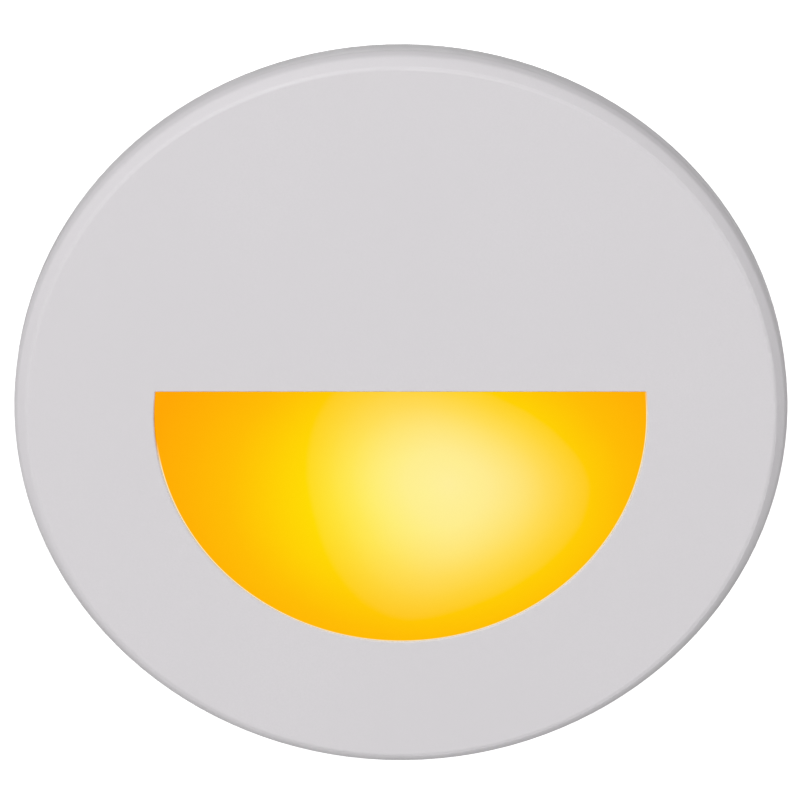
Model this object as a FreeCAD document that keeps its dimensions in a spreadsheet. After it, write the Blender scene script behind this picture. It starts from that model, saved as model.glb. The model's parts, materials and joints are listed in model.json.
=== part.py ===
import FreeCAD, Part
import math
import os
import re
import Sketcher

# A round recessed step light for a wall: a bevelled face plate with a half-moon opal window, a cast
# body with a light chamber in front of a web and a driver chamber behind it, and two sprung clips.
#
# Frame, in millimetres: the origin is on the body's axis in the plane of the wall, X to the right,
# Y into the wall, Z up. The light faces -Y.

doc = FreeCAD.newDocument("StepLight")
sheet = doc.addObject("Spreadsheet::Sheet", "Sizes")
nodes = {}


# Sizes that can be set, in millimetres and degrees.
SIZES = {
    # Wall and face plate
    "spigot_gap": 0.5,  # between the spigot and the cut-out
    "plate_radius": 40.0,  # face plate, outside
    "plate_lap": 6.0,  # plate beyond the cut-out in the wall
    "plate_front": -3.9,  # flat front face, ahead of the wall
    "plate_rear": -0.4,  # rear edge of the plate's rim
    "bevel_width": 1.0,  # sloping edge, across the face
    "bevel_depth": 0.95,  # sloping edge, front to back
    "shoulder_width": 0.3,  # steeper band behind the slope, across the face
    "shoulder_depth": 0.75,  # steeper band behind the slope, front to back
    "rim_round": 0.6,  # rounding where the steeper band meets the side
    "face_round": 0.6,  # rounding at both edges of the slope
    "window_inset": 1.0,  # window smaller than the bore of the body
    "window_top": 3.0,  # straight edge of the window, above the axis
    "window_flare": 0.1,  # small chamfer round the window
    "skin": 1.6,  # thickness of the plate over the lens
    "flange_step": 0.4,  # body flange behind the lens seat
    "rim_wall": 1.2,  # plate outside the gasket
    "land_wall": 1.5,  # plate inside the gasket
    "seat_gap": 0.3,  # round the body flange in the plate
    "gasket_gap": 0.2,  # each side of a gasket in its groove
    "gasket_depth": 1.0,  # depth of the wall gasket's groove
    "gasket_rear": 0.0,  # sealing face of the wall gasket, the plane of the wall
    # Body
    "flange_width": 5.0,  # body flange round the body
    "body_wall": 2.0,  # wall of the body
    "spigot_depth": 2.0,  # flange behind the wall plane
    "spigot_start": 0.2,  # full width of the flange begins this far behind the wall plane
    "spigot_relief": 0.9,  # flange slimmer inside the plate
    "lens_ledge": 1.8,  # counterbore for the lens, beyond the bore
    "web_front": 13.0,  # web between the two chambers
    "web_thick": 2.5,  # web thickness
    "driver_room": 10.5,  # body behind the web
    "fin_reach": 1.7,  # cooling fins beyond the body wall
    "fin_thick": 1.2,  # fin thickness
    "fin_length": 18.0,  # fins along the body
    # Lens and reflector
    "lens_thick": 1.8,  # flange of the lens
    "lens_gap": 0.3,  # round the lens
    "lens_recess": 0.05,  # lens behind the plate's face
    "window_gap": 0.06,  # round the raised part of the lens
    "lens_edge": 0.08,  # chamfer of the raised part
    "seal_width": 1.3,  # rebate for the lens seal
    "seal_depth": 0.8,  # rebate depth
    "funnel_wall": 1.0,  # wall of the reflector
    "funnel_gap": 0.3,  # between the reflector and the bore
    "funnel_rim": 1.2,  # front disc of the reflector
    "funnel_end": 9.0,  # radius of the reflector's small end
    "funnel_chord": 5.0,  # straight edge of the small end above its centre
    "lamp_x": 3.0,  # centre of the lamps, to the right
    "lamp_z": -6.0,  # centre of the lamps, height
    # Lamp board
    "board_gap": 3.5,  # lamp board smaller than the bore
    "board_screw_inset": 2.6,  # its screws from its edge
    "board_thick": 1.2,  # both circuit boards are near this
    "pad_thick": 0.4,  # thermal pad
    "pad_inset": 1.0,  # pad smaller than the board
    "lamp_side": 3.0,  # one lamp
    "lamp_height": 0.7,  # one lamp
    "lamp_pitch": 4.5,  # between lamps
    "wire_hole": 3.0,  # radius of the hole in the web for the leads
    "wire_inset": 8.5,  # that hole from the bore
    "grommet_flange": 1.0,  # beyond the hole
    "lead_radius": 0.6,  # insulated lead
    "lead_pitch": 2.4,  # between the two leads
    "lead_bend": 2.0,  # radius of a lead's one bend, at its middle line
    "lead_seat": 2.0,  # how deep a lead's end sits in the connector
    "socket_cell": 1.8,  # width of the connector's opening for a lead
    "socket_height": 3.2,  # connector on the lamp board
    "socket_depth": 4.0,  # connector along its leads
    "socket_drop": 4.6,  # connector below the hole for the leads
    # Driver chamber
    "post_height": 2.5,  # posts under the driver board
    "post_radius": 2.5,  # posts under the driver board
    "driver_gap": 1.2,  # driver board smaller than the bore
    "post_inset": 4.7,  # its screws from its edge
    "driver_thick": 1.6,  # driver board
    "boss_radius": 2.75,  # bosses for the cover's screws
    "boss_inset": 2.8,  # their middle from the bore
    "boss_gap": 0.5,  # driver board round the bosses
    "core_inset": 9.8,  # transformer from the board's edge
    "core_z": -2.0,  # transformer, height of its middle
    "core_width": 12.0,  # ferrite core
    "core_length": 8.0,  # ferrite core
    "core_height": 5.7,  # ferrite core
    "core_leg": 2.0,  # outer legs
    "core_yoke": 1.3,  # yokes
    "can_inset": 10.3,  # input capacitor from the board's edge
    "can_radius": 2.85,  # input capacitor
    "can_length": 11.0,  # input capacitor
    "cap_inset": 4.75,  # output capacitor and choke from the board's edge
    "cap_radius": 3.15,  # output capacitor and choke
    "cap_height": 5.6,  # output capacitor and choke
    "chip_gap": 3.5,  # chip and rectifier from the middle
    "chip_z": -10.5,  # chip and rectifier
    "fuse_radius": 1.5,  # fuse
    "fuse_half": 4.0,  # half length of the fuse
    "fuse_z": -1.0,  # height of the fuse
    "block_z": 7.5,  # terminal block, height of its middle
    "block_width": 8.0,  # terminal block
    "block_height": 8.8,  # terminal block
    "pole_pitch": 5.0,  # between its poles
    "pole_way": 1.6,  # ways for the wires
    "pole_well": 1.8,  # wells for the screws
    "seal_thick": 0.6,  # flat seal under the cover
    "cover_roof": 2.0,  # rear cover thickness
    "cover_depth": 5.0,  # rear cover, rim to roof outside
    "cover_round": 4.0,  # rounded edge of the cover
    # Screws
    "small_shank": 1.0,  # plate screws, clip pins
    "small_head": 1.9,  # plate screw head
    "small_height": 1.4,  # plate screw head
    "shank": 1.25,  # board and cover screws
    "head": 2.25,  # board and cover screws
    "head_height": 1.5,  # board and cover screws
    "head_room": 0.3,  # round a sunk head
    # Cable gland
    "gland_rise": 13.7,  # cable inlet above the lowest boss
    "gland_thread": 6.0,  # thread radius
    "gland_corner": 8.6,  # hexagons, across corners, half
    "gland_hex": 4.5,  # body hexagon along the cable
    "gland_neck": 5.4,  # thread beyond the hexagon
    "locknut": 3.0,  # nut inside the cover
    "thread_gap": 0.15,  # thread in the cover's hole
    "cable_radius": 3.25,  # bore of the seal
    "sleeve_wall": 1.4,  # rubber sleeve of the gland
    "nut_length": 8.6,  # domed nut
    "nut_start": 0.4,  # nut ahead of the hexagon
    "nut_mouth": 4.4,  # mouth of the nut
    # Spring clips
    "pivot_stand": 2.4,  # pin from the body wall
    "pivot_back": 2.5,  # pin behind the web
    "rest_angle": 27.0,  # free clips lean out from straight ahead, degrees
    "pin_gap": 0.06,  # running clearance on the pin
    "ear_radius": 1.9,  # ear round the pin
    "ear_inner": 4.6,  # ears, from the middle
    "ear_thick": 1.6,  # ear thickness
    "clip_half": 4.2,  # half width of a clip
    "clip_sheet": 1.0,  # spring clip plate
    "cheek_radius": 2.1,  # clip round the pin
    "clip_start": 3.0,  # clip's flat part from the pin
    "clip_length": 14.0,  # pin to the clip's end
    "pad_start": 8.5,  # rubber sleeve from the pin
    "pad_wall": 0.8,  # rubber over the clip
    "pad_round": 0.7,  # rounded sleeve
    "spring_wire": 0.3,  # radius of the spring wire
    "spring_coil": 1.7,  # radius of the coil, to the wire's middle
    "spring_half": 2.4,  # half length of the coil
    "spring_turns": 4,  # whole turns
    "leg_body": 3.6,  # leg along the body
    "leg_clip": 5.2,  # leg along the clip
    "stop_half": 0.6,  # half width of the stops that the legs press on
    "stop_length": 1.2,  # along the leg
}

# Sizes that follow from them.
FOLLOWING = {
    "hole_radius": "=plate_radius - plate_lap",  # cut-out in the wall or panel
    "spigot_radius": "=hole_radius - spigot_gap",  # body flange
    "body_radius": "=spigot_radius - flange_width",  # outside of the body
    "bore_radius": "=body_radius - body_wall",  # inside of the body
    "window_radius": "=bore_radius - window_inset",  # half-moon window
    "board_radius": "=bore_radius - board_gap",  # lamp board
    "board_screw_circle": "=board_radius - board_screw_inset",  # its screws from the axis
    "driver_radius": "=bore_radius - driver_gap",  # driver board
    "post_circle": "=driver_radius - post_inset",  # its screws from the axis
    "socket_top": "=bore_radius - wire_inset - socket_drop",  # mouth of the connector
    "boss_circle": "=bore_radius - boss_inset",  # cover screws from the axis
    "wire_z": "=bore_radius - wire_inset",  # height of the hole for the leads
    "gland_z": "=gland_rise - boss_circle",  # height of the cable inlet
    "pivot_x": "=body_radius + pivot_stand",  # pin from the axis
    "flange_radius": "=spigot_radius - spigot_relief",  # flange inside the plate
    "flange_pocket": "=flange_radius + seat_gap",  # pocket for the flange in the plate
    "groove_inner": "=flange_pocket + land_wall",  # gasket groove
    "groove_outer": "=plate_radius - rim_wall",  # gasket groove
    "gasket_inner": "=groove_inner + gasket_gap",  # wall gasket
    "gasket_outer": "=groove_outer - gasket_gap",  # wall gasket
    "groove_floor": "=plate_rear - gasket_depth",  # gasket groove
    "shoulder_r": "=plate_radius - shoulder_width",  # rear end of the slope
    "shoulder_y": "=plate_front + bevel_depth",  # rear end of the slope
    "side_y": "=shoulder_y + shoulder_depth",  # front end of the straight side
    "bevel_r": "=shoulder_r - bevel_width",  # front end of the slope
    "lens_seat": "=plate_front + skin",  # front of the lens flange
    "lens_rear": "=lens_seat + lens_thick",  # back of the lens, front of the reflector
    "flange_front": "=lens_seat + flange_step",  # front of the body
    "lens_pocket": "=bore_radius + lens_ledge",  # pocket round the lens
    "lens_radius": "=lens_pocket - lens_gap",  # lens
    "web_rear": "=web_front + web_thick",  # web
    "body_rear": "=web_rear + driver_room",  # rear rim of the body
    "pivot_y": "=web_rear + pivot_back",  # pin behind the wall
    "board_rear": "=web_front - pad_thick",  # lamp board
    "board_front": "=board_rear - board_thick",  # lamp board, end of the reflector
    "funnel_outer": "=bore_radius - funnel_gap",  # reflector, outside
    "funnel_inner": "=funnel_outer - funnel_wall",  # reflector, inside
    "plate_screw_circle": "=(body_radius + spigot_radius) / 2",  # plate screws from the axis
    "plate_screw_seat": "=spigot_depth - small_height - 0.3",  # plate screw heads sit here
    "driver_front": "=web_rear + post_height",  # driver board
    "driver_rear": "=driver_front + driver_thick",  # driver board
    "cover_front": "=body_rear + seal_thick",  # rear cover rim
    "cover_rear": "=cover_front + cover_depth",  # rear cover outside
    "cover_inside": "=cover_rear - cover_roof",  # rear cover inside
    "washer_rear": "=cover_rear + seal_thick",  # gland washer
    "hex_rear": "=washer_rear + gland_hex",  # gland hexagon
    "neck_rear": "=hex_rear + gland_neck",  # gland thread end
    "nut_front": "=hex_rear + nut_start",  # gland nut
    "nut_rear": "=nut_front + nut_length",  # gland nut
    "sleeve_radius": "=cable_radius + sleeve_wall",  # rubber sleeve
}

for row, (name, number) in enumerate(list(SIZES.items()) + list(FOLLOWING.items()), start=1):
    sheet.set("A%d" % row, name)
    sheet.set("B%d" % row, str(number))
    sheet.setAlias("B%d" % row, name)
doc.recompute()


def value(name):
    """A size as a number."""
    return float(sheet.get(name))


def full(expression):
    """An expression whose names of sizes are cells of the sheet."""
    def cell(match):
        word = match.group(0)
        return "Sizes." + word if word in SIZES or word in FOLLOWING else word
    return re.sub(r"[a-z][a-z_0-9]*", cell, str(expression))


# ---------------------------------------------------------------- simple solids

REARWARD = FreeCAD.Rotation(FreeCAD.Vector(1, 0, 0), -90)
SIDEWAYS = FreeCAD.Rotation(FreeCAD.Vector(0, 1, 0), 90)
UPRIGHT = FreeCAD.Rotation()
START = 20.0  # sketches are first drawn about this large, and their constraints then size them


def bind(piece, **properties):
    for name, expression in properties.items():
        piece.setExpression(name, full(expression))


def seat(piece, turn, x, y, z):
    """Places a primitive: a fixed turn and a bound position."""
    piece.Placement = FreeCAD.Placement(FreeCAD.Vector(0, 0, 0), turn)
    for letter, expression in zip("xyz", (x, y, z)):
        piece.setExpression("Placement.Base." + letter, full(expression))


def disc(name, radius, y0, y1, x=0, z=0):
    """A cylinder along the depth axis from y0 to y1."""
    piece = doc.addObject("Part::Cylinder", name)
    seat(piece, REARWARD, x, y0, z)
    bind(piece, Radius=radius, Height="(%s) - (%s)" % (y1, y0))
    return piece


def rod(name, radius, z0, z1, x=0, y=0):
    """An upright cylinder."""
    piece = doc.addObject("Part::Cylinder", name)
    seat(piece, UPRIGHT, x, y, z0)
    bind(piece, Radius=radius, Height="(%s) - (%s)" % (z1, z0))
    return piece


def bar(name, radius, x0, x1, y=0, z=0):
    """A cylinder from left to right."""
    piece = doc.addObject("Part::Cylinder", name)
    seat(piece, SIDEWAYS, x0, y, z)
    bind(piece, Radius=radius, Height="(%s) - (%s)" % (x1, x0))
    return piece


def hexagon(name, corner, y0, y1, x=0, z=0):
    """A six-sided prism along the depth axis."""
    piece = doc.addObject("Part::Prism", name)
    piece.Polygon = 6
    seat(piece, REARWARD, x, y0, z)
    bind(piece, Circumradius=corner, Height="(%s) - (%s)" % (y1, y0))
    return piece


def cone(name, r0, r1, y0, y1, x=0, z=0):
    """A cone along the depth axis, radius r0 at y0 and r1 at y1."""
    piece = doc.addObject("Part::Cone", name)
    seat(piece, REARWARD, x, y0, z)
    bind(piece, Radius1=r0, Radius2=r1, Height="(%s) - (%s)" % (y1, y0))
    return piece


def block(name, x0, x1, y0, y1, z0, z1):
    """A box between two corners."""
    piece = doc.addObject("Part::Box", name)
    seat(piece, UPRIGHT, x0, y0, z0)
    bind(piece, Length="(%s) - (%s)" % (x1, x0), Width="(%s) - (%s)" % (y1, y0),
         Height="(%s) - (%s)" % (z1, z0))
    return piece


def fuse(name, *pieces):
    whole = doc.addObject("Part::MultiFuse", name)
    whole.Shapes = list(pieces)
    whole.Refine = True
    return whole


def cut(name, base, *tools):
    whole = doc.addObject("Part::Cut", name)
    whole.Base = base
    whole.Tool = tools[0] if len(tools) == 1 else fuse(name + "_tools", *tools)
    whole.Refine = True
    return whole


def group(name, *pieces):
    """Separate copies of one small part, kept in one node."""
    whole = doc.addObject("Part::Compound", name)
    whole.Links = list(pieces)
    return whole


def mirrored(name, piece):
    """The same piece on the left."""
    other = doc.addObject("Part::Mirroring", name)
    other.Source = piece
    other.Base = FreeCAD.Vector(0, 0, 0)
    other.Normal = FreeCAD.Vector(1, 0, 0)
    return other


def keep(name, piece):
    """A piece of the light, under the name of its node."""
    piece.Label = name
    nodes[name] = piece
    return piece


# ---------------------------------------------------------------- sketched solids

def sketch_on(body, name, plane, depth=None):
    """A sketch on a plane of the body's origin, at a depth for the XZ plane."""
    sketch = body.newObject("Sketcher::SketchObject", name)
    support = [f for f in body.Origin.OriginFeatures if f.Role == plane][0]
    sketch.AttachmentSupport = [(support, "")]
    sketch.MapMode = "FlatFace"
    if depth is not None:
        sketch.setExpression("AttachmentOffset.Base.z", full("-(%s)" % depth))
    return sketch


def hold(sketch, kind, geometry, point, number, expression):
    """A constraint whose value is an expression."""
    if kind == "Radius":
        index = sketch.addConstraint(Sketcher.Constraint("Radius", geometry, number))
    else:
        index = sketch.addConstraint(Sketcher.Constraint(kind, -1, 1, geometry, point, number))
    sketch.setExpression("Constraints[%d]" % index, full(expression))


def turned(name, *corners):
    """A solid turned about the depth axis, from corners of (radius, depth)."""
    body = doc.addObject("PartDesign::Body", name + "_body")
    sketch = sketch_on(body, name + "_profile", "XY_Plane")
    count = len(corners)
    points = []
    for index in range(count):
        angle = 2 * math.pi * index / count
        points.append(FreeCAD.Vector(START * (3 + math.cos(angle)), START * math.sin(angle), 0))
    for index in range(count):
        sketch.addGeometry(Part.LineSegment(points[index], points[(index + 1) % count]))
    for index in range(count):
        sketch.addConstraint(Sketcher.Constraint("Coincident", index, 2, (index + 1) % count, 1))
    for index, (radius, depth) in enumerate(corners):
        hold(sketch, "DistanceX", index, 1, points[index].x, radius)
        hold(sketch, "DistanceY", index, 1, points[index].y, depth)
    turn = body.newObject("PartDesign::Revolution", name + "_turn")
    turn.Profile = sketch
    turn.ReferenceAxis = (sketch, ["V_Axis"])
    turn.Angle = 360
    sketch.Visibility = False
    return body


def rounded(body, radius, *rings):
    """Rounds circular edges of a turned body, given as (radius, depth) in sizes."""
    doc.recompute()
    wanted = [(value(r), value(y)) for r, y in rings]
    whole = body.Tip
    edges = []
    for index, edge in enumerate(whole.Shape.Edges):
        if not isinstance(edge.Curve, Part.Circle):
            continue
        for r, y in wanted:
            if abs(edge.Curve.Radius - r) < 1e-4 and abs(edge.Curve.Center.y - y) < 1e-4:
                edges.append("Edge%d" % (index + 1))
    fillet = body.newObject("PartDesign::Fillet", body.Name + "_round")
    fillet.Base = (whole, edges)
    fillet.setExpression("Radius", full(radius))
    body.Tip = fillet
    return body


def half_moon(sketch, radius, top, x=0, z=0):
    """A circle about (x, z) whose upper part is cut off level at the height top."""
    start = math.asin(0.1)
    circle = Part.Circle(FreeCAD.Vector(0, 0, 0), FreeCAD.Vector(0, 0, 1), START)
    arc = sketch.addGeometry(Part.ArcOfCircle(circle, math.pi - start, 2 * math.pi + start))
    half = START * math.cos(start)
    level = START * math.sin(start)
    line = sketch.addGeometry(Part.LineSegment(FreeCAD.Vector(half, level, 0),
                                               FreeCAD.Vector(-half, level, 0)))
    sketch.addConstraint(Sketcher.Constraint("Coincident", arc, 2, line, 1))
    sketch.addConstraint(Sketcher.Constraint("Coincident", line, 2, arc, 1))
    sketch.addConstraint(Sketcher.Constraint("Horizontal", line))
    hold(sketch, "DistanceX", arc, 3, 0.0, x)
    hold(sketch, "DistanceY", arc, 3, 0.0, z)
    hold(sketch, "Radius", arc, 0, START, radius)
    hold(sketch, "DistanceY", line, 1, level, top)


def moon_block(name, radius, top, y0, y1):
    """A half-moon slab from y0 back to y1."""
    body = doc.addObject("PartDesign::Body", name + "_body")
    sketch = sketch_on(body, name + "_outline", "XZ_Plane", y1)
    half_moon(sketch, radius, top)
    pad = body.newObject("PartDesign::Pad", name + "_pad")
    pad.Profile = sketch
    pad.setExpression("Length", full("(%s) - (%s)" % (y1, y0)))
    sketch.Visibility = False
    return body


def moon_loft(name, front, rear):
    """A half-moon that changes from front to rear, each (radius, top, depth, x, z)."""
    body = doc.addObject("PartDesign::Body", name + "_body")
    outlines = []
    for end, (radius, top, depth, x, z) in (("front", front), ("rear", rear)):
        sketch = sketch_on(body, name + "_" + end, "XZ_Plane", depth)
        half_moon(sketch, radius, top, x, z)
        sketch.Visibility = False
        outlines.append(sketch)
    loft = body.newObject("PartDesign::AdditiveLoft", name + "_loft")
    loft.Profile = outlines[0]
    loft.Sections = [outlines[1]]
    loft.Ruled = True
    return body


def screw(name, x, z, seat_y, length, small=False, rear=True):
    """A socket-head screw on a seat; its head is behind the seat, or ahead of it."""
    thread, cap, height = ("small_shank", "small_head", "small_height") if small \
        else ("shank", "head", "head_height")
    if rear:
        stem = disc(name + "_stem", thread, "%s - %s" % (seat_y, length), seat_y, x, z)
        top = disc(name + "_head", cap, seat_y, "%s + %s" % (seat_y, height), x, z)
        well = hexagon(name + "_well", "%s * 0.45" % cap, "%s + %s * 0.4" % (seat_y, height),
                       "%s + %s" % (seat_y, height), x, z)
    else:
        stem = disc(name + "_stem", thread, seat_y, "%s + %s" % (seat_y, length), x, z)
        top = disc(name + "_head", cap, "%s - %s" % (seat_y, height), seat_y, x, z)
        well = hexagon(name + "_well", "%s * 0.45" % cap, "%s - %s" % (seat_y, height),
                       "%s - %s * 0.4" % (seat_y, height), x, z)
    return cut(name, fuse(name + "_solid", stem, top), well)


def around(circle, *angles):
    """Places (x, z) on a circle about the axis."""
    return [("(%s) * cos(%s)" % (circle, a), "(%s) * sin(%s)" % (circle, a)) for a in angles]


# ---------------------------------------------------------------- face plate, window and seals

plate_screw_places = around("plate_screw_circle", 45, 135, 225, 315)

plate = turned("plate_turned",
               ("0", "plate_front"), ("bevel_r", "plate_front"),
               ("shoulder_r", "shoulder_y"), ("plate_radius", "side_y"),
               ("plate_radius", "plate_rear"),
               ("groove_outer", "plate_rear"), ("groove_outer", "groove_floor"),
               ("groove_inner", "groove_floor"), ("groove_inner", "plate_rear"),
               ("flange_pocket", "plate_rear"), ("flange_pocket", "flange_front"),
               ("lens_pocket", "flange_front"), ("lens_pocket", "lens_seat"),
               ("0", "lens_seat"))
rounded(plate, "rim_round", ("plate_radius", "side_y"))
rounded(plate, "face_round", ("shoulder_r", "shoulder_y"), ("bevel_r", "plate_front"))
window = moon_block("window", "window_radius", "window_top", "plate_front", "lens_seat")
flare = moon_loft("flare",
                  ("window_radius + window_flare", "window_top + window_flare", "plate_front", 0, 0),
                  ("window_radius", "window_top", "plate_front + window_flare", 0, 0))
plate_holes = [disc("plate_hole_%d" % i, "small_shank", "flange_front - 1.4", "flange_front", x, z)
               for i, (x, z) in enumerate(plate_screw_places)]
keep("face_plate", cut("face_plate", plate, window, flare, *plate_holes))

keep("wall_gasket", cut("wall_gasket",
                        disc("gasket_disc", "gasket_outer", "groove_floor", "gasket_rear"),
                        disc("gasket_bore", "gasket_inner", "groove_floor", "gasket_rear")))

lens_flange = turned("lens_turned",
                     ("0", "lens_seat"), ("lens_radius - seal_width", "lens_seat"),
                     ("lens_radius - seal_width", "lens_seat + seal_depth"),
                     ("lens_radius", "lens_seat + seal_depth"), ("lens_radius", "lens_rear"),
                     ("0", "lens_rear"))
lens_raised = moon_block("lens_raised", "window_radius - window_gap", "window_top - window_gap",
                         "plate_front + lens_recess + lens_edge", "lens_seat + lens_edge")
lens_edge = moon_loft("lens_edge",
                      ("window_radius - window_gap - lens_edge", "window_top - window_gap - lens_edge",
                       "plate_front + lens_recess", 0, 0),
                      ("window_radius - window_gap", "window_top - window_gap",
                       "plate_front + lens_recess + lens_edge", 0, 0))
keep("window_lens", fuse("window_lens", lens_flange, lens_raised, lens_edge))

keep("lens_gasket", cut("lens_gasket",
                        disc("lens_seal_disc", "lens_pocket - 0.1", "lens_seat", "lens_seat + seal_depth"),
                        disc("lens_seal_bore", "lens_radius - seal_width + 0.1", "lens_seat",
                             "lens_seat + seal_depth")))

# ---------------------------------------------------------------- mixing reflector

rim_disc = disc("funnel_rim_disc", "funnel_outer", "lens_rear", "lens_rear + funnel_rim")
funnel_shell = moon_loft("funnel_shell",
                         ("funnel_outer", "window_top + funnel_wall", "lens_rear", 0, 0),
                         ("funnel_end + funnel_wall", "lamp_z + funnel_chord + funnel_wall",
                          "board_front", "lamp_x", "lamp_z"))
funnel_hollow = moon_loft("funnel_hollow",
                          ("funnel_inner", "window_top", "lens_rear", 0, 0),
                          ("funnel_end", "lamp_z + funnel_chord", "board_front", "lamp_x", "lamp_z"))
keep("mixing_reflector", cut("mixing_reflector", fuse("funnel_solid", rim_disc, funnel_shell),
                             funnel_hollow))

# ---------------------------------------------------------------- body

post_places = around("post_circle", 61, 119, 245)
boss_places = around("boss_circle", 30, 150, 270)
board_screw_places = around("board_screw_circle", 38, 142, 233)

body_turned = turned("body_turned",
                     ("0", "web_front"), ("bore_radius", "web_front"),
                     ("bore_radius", "lens_rear"), ("lens_pocket", "lens_rear"),
                     ("lens_pocket", "flange_front"), ("flange_radius", "flange_front"),
                     ("flange_radius", "spigot_start"), ("spigot_radius", "spigot_start"),
                     ("spigot_radius", "spigot_depth"), ("body_radius", "spigot_depth"),
                     ("body_radius", "body_rear"), ("bore_radius", "body_rear"),
                     ("bore_radius", "web_rear"), ("0", "web_rear"))
additions = []
for side, sign in (("right", 1), ("left", -1)):
    for end, flip in (("top", 1), ("bottom", -1)):
        tag = side + "_" + end
        z0 = "ear_inner" if flip > 0 else "-(ear_inner + ear_thick)"
        z1 = "ear_inner + ear_thick" if flip > 0 else "-ear_inner"
        x0 = "body_radius - 1.2" if sign > 0 else "-pivot_x"
        x1 = "pivot_x" if sign > 0 else "-(body_radius - 1.2)"
        additions.append(block("ear_" + tag, x0, x1, "pivot_y - ear_radius", "pivot_y + ear_radius",
                               z0, z1))
        additions.append(rod("ear_eye_" + tag, "ear_radius", z0, z1, "%d * pivot_x" % sign, "pivot_y"))
    x0 = "body_radius - 0.4" if sign > 0 else "-(pivot_x - spring_coil + stop_half)"
    x1 = "pivot_x - spring_coil + stop_half" if sign > 0 else "-(body_radius - 0.4)"
    additions.append(block("stop_" + side, x0, x1, "pivot_y + leg_body",
                           "pivot_y + leg_body + stop_length",
                           "-spring_half - stop_half", "-spring_half + stop_half"))
for i, (x, z) in enumerate(post_places):
    additions.append(disc("post_%d" % i, "post_radius", "web_rear - 0.5", "driver_front", x, z))
for i, (x, z) in enumerate(boss_places):
    additions.append(disc("boss_%d" % i, "boss_radius", "web_rear - 0.5", "cover_front", x, z))
fin_turns = [66, 78, 90, 102, 114, 246, 258, 270, 282, 294]
for angle in fin_turns:
    fin = doc.addObject("Part::Box", "fin_%d" % angle)
    turn = FreeCAD.Rotation(FreeCAD.Vector(0, 1, 0), -angle)
    corner = turn.multVec(FreeCAD.Vector(value("body_radius") - 0.6, value("spigot_depth") - 0.5,
                                         -value("fin_thick") / 2))
    fin.Placement = FreeCAD.Placement(corner, turn)
    bind(fin, Length="fin_reach + 0.6", Width="fin_length + 0.5", Height="fin_thick")
    additions.append(fin)
body_solid = fuse("body_solid", body_turned, *additions)

holes = []
for i, (x, z) in enumerate(plate_screw_places):
    holes.append(disc("plate_way_%d" % i, "small_shank + 0.1", "flange_front", "plate_screw_seat", x, z))
    holes.append(disc("plate_sink_%d" % i, "small_head + head_room", "plate_screw_seat",
                      "spigot_depth", x, z))
for i, (x, z) in enumerate(board_screw_places):
    holes.append(disc("board_tap_%d" % i, "shank", "web_front", "web_rear", x, z))
for i, (x, z) in enumerate(post_places):
    holes.append(disc("post_tap_%d" % i, "shank", "web_rear", "driver_front", x, z))
for i, (x, z) in enumerate(boss_places):
    holes.append(disc("boss_tap_%d" % i, "shank", "body_rear - 8", "cover_front", x, z))
holes.append(disc("wire_way", "wire_hole", "web_front", "web_rear", 0, "wire_z"))
for side, sign in (("right", 1), ("left", -1)):
    holes.append(rod("pin_way_" + side, "small_shank", "-(ear_inner + ear_thick)",
                     "ear_inner + ear_thick", "%d * pivot_x" % sign, "pivot_y"))
keep("housing", cut("housing", body_solid, *holes))

keep("plate_screws", group("plate_screws", *[
    screw("plate_screw_%d" % i, x, z, "plate_screw_seat", "(plate_screw_seat - flange_front + 1.2)",
          small=True) for i, (x, z) in enumerate(plate_screw_places)]))

# ---------------------------------------------------------------- lamp board

board_holes = [disc("board_hole_%d" % i, "shank", "board_front", "board_rear", x, z)
               for i, (x, z) in enumerate(board_screw_places)]
board_holes.append(disc("board_way", "wire_hole + 0.6", "board_front", "board_rear", 0, "wire_z"))
keep("led_board", cut("led_board", disc("board_disc", "board_radius", "board_front", "board_rear"),
                      *board_holes))
pad_holes = [disc("pad_hole_%d" % i, "shank", "board_rear", "web_front", x, z)
             for i, (x, z) in enumerate(board_screw_places)]
pad_holes.append(disc("pad_way", "wire_hole + 0.6", "board_rear", "web_front", 0, "wire_z"))
keep("thermal_pad", cut("thermal_pad",
                        disc("pad_disc", "board_radius - pad_inset", "board_rear", "web_front"),
                        *pad_holes))
lamps = []
for column in (-1, 0, 1):
    for row in (-0.5, 0.5):
        x = "lamp_x + %s * lamp_pitch" % column
        z = "lamp_z - 1 + (%s) * lamp_pitch" % row
        lamps.append(block("lamp_%d_%d" % (column + 1, row + 1), x + " - lamp_side / 2",
                           x + " + lamp_side / 2", "board_front - lamp_height", "board_front",
                           z + " - lamp_side / 2", z + " + lamp_side / 2"))
keep("led_packages", group("led_packages", *lamps))
keep("led_board_screws", group("led_board_screws", *[
    screw("board_screw_%d" % i, x, z, "board_front", "(web_rear - board_front - 0.3)", rear=False)
    for i, (x, z) in enumerate(board_screw_places)]))

socket = block("socket_box", "-lead_pitch / 2 - 2.2", "lead_pitch / 2 + 2.2",
               "board_front - socket_height", "board_front", "socket_top - socket_depth", "socket_top")
socket_cells = [block("socket_cell_%d" % i, "%d * lead_pitch / 2 - socket_cell / 2" % s,
                      "%d * lead_pitch / 2 + socket_cell / 2" % s, "board_front - socket_height / 2 - 1",
                      "board_front - socket_height / 2 + 1", "socket_top - lead_seat", "socket_top")
                for i, s in enumerate((-1, 1))]
keep("led_connector", cut("led_connector", socket, *socket_cells))

grommet = fuse("grommet_solid",
               disc("grommet_body", "wire_hole", "web_front", "web_rear", 0, "wire_z"),
               disc("grommet_collar", "wire_hole + grommet_flange", "web_rear",
                    "web_rear + grommet_flange", 0, "wire_z"))
keep("web_grommet", cut("web_grommet", grommet,
                        disc("grommet_bore", "wire_hole - 0.9", "web_front",
                             "web_rear + grommet_flange", 0, "wire_z")))


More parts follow.
